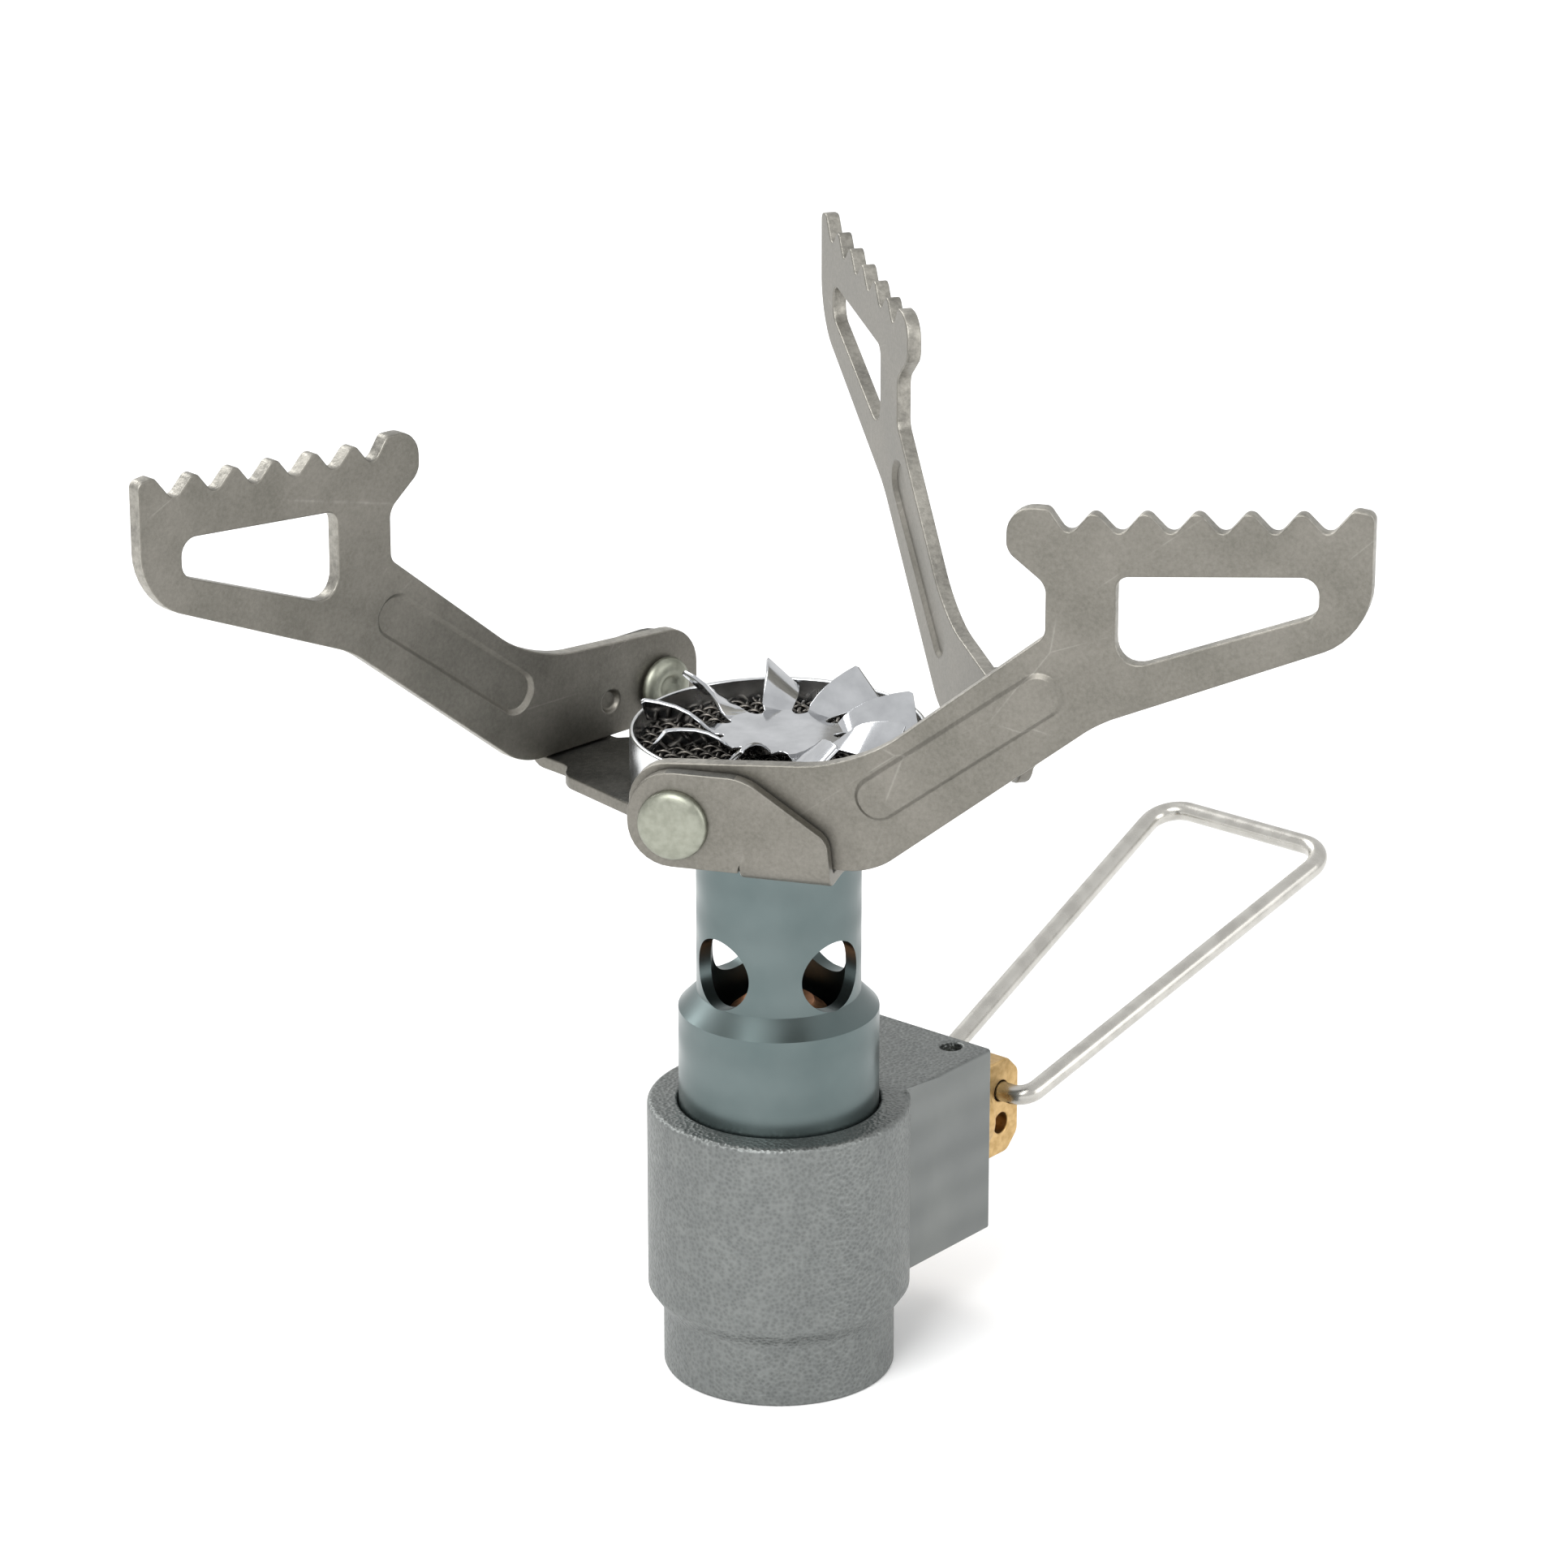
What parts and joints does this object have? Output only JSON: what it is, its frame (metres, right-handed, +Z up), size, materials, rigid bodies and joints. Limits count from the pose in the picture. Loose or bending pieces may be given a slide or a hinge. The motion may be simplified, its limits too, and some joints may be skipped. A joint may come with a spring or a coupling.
{
  "type": "camping stove",
  "caption": "Folding gas canister stove: screw-on valve body with wire handle, aluminium burner tube, bladed burner head and fold-over serrated pot supports.",
  "frame": {"origin": "centre of the canister socket's mouth, on the stove's vertical axis", "axes": "+Z up along the burner tube; +X along the valve spindle, out towards the wire handle"},
  "size_m": [0.1039, 0.0764, 0.0756],
  "materials": {
    "cast_aluminium": "bead-blasted and anodised grey",
    "anodised_tube": "satin anodised blue-grey",
    "titanium_sheet": "tumbled and pickled warm grey",
    "rivet_metal": "satin light grey",
    "polished_steel": "bright polished stainless",
    "wire_steel": "bright drawn stainless wire",
    "burner_mesh": "heat-blackened woven wire",
    "brass": "turned and tumbled",
    "jet_brass": "turned reddish brass",
    "seal_rubber": "moulded matt"
  },
  "bodies": {
    "stove": {"valve_body": "cast_aluminium", "opener_pin": "brass", "canister_gasket": "seal_rubber", "inlet_filter": "wire_steel", "jet": "jet_brass", "burner_tube": "anodised_tube", "support_bracket": "titanium_sheet", "burner_cup": "polished_steel", "burner_mesh": "burner_mesh", "flame_spreader": "polished_steel", "arm_rivet_1": "rivet_metal", "arm_rivet_2": "rivet_metal", "arm_rivet_3": "rivet_metal", "retaining_pin": "wire_steel"},
    "arm_1": {"pot_arm_1": "titanium_sheet"},
    "arm_2": {"pot_arm_2": "titanium_sheet"},
    "arm_3": {"pot_arm_3": "titanium_sheet"},
    "spindle_seals": {"spindle_seal_inner": "seal_rubber", "spindle_seal_outer": "seal_rubber"},
    "spindle": {"valve_spindle": "brass"},
    "handle": {"wire_handle": "wire_steel"}
  },
  "joints": [
    {"name": "arm_1_fold", "type": "hinge", "parent": "stove", "child": "arm_1", "pos_m": [-0.01553, -0.00385, 0.0489], "axis": [-0.9135, -0.4067, 0], "range_deg": [0, 230]},
    {"name": "arm_2_fold", "type": "hinge", "parent": "stove", "child": "arm_2", "pos_m": [0.0111, -0.01152, 0.0489], "axis": [0.809, -0.5878, 0], "range_deg": [0, 230]},
    {"name": "arm_3_fold", "type": "hinge", "parent": "stove", "child": "arm_3", "pos_m": [0.00443, 0.01537, 0.0489], "axis": [0.1045, 0.9945, 0], "range_deg": [0, 230]},
    {"name": "spindle_travel", "type": "slide", "parent": "stove", "child": "spindle_seals", "axis": [1, 0, 0], "range_m": [0, 0.00075]},
    {"name": "spindle_turn", "type": "hinge", "parent": "spindle_seals", "child": "spindle", "pos_m": [0.0263, 0, 0.0128], "axis": [1, 0, 0], "range_deg": [0, 540]},
    {"name": "handle_fold", "type": "hinge", "parent": "spindle", "child": "handle", "pos_m": [0.0242, 0, 0.01415], "axis": [0, -1, 0], "range_deg": [-60, 68]}
  ],
  "couplings": [
    {"joint": "arm_2_fold", "follows": "arm_1_fold", "ratio": 1},
    {"joint": "arm_3_fold", "follows": "arm_1_fold", "ratio": 1},
    {"joint": "spindle_travel", "follows": "spindle_turn", "m_per_rad": 0.000079577}
  ]
}
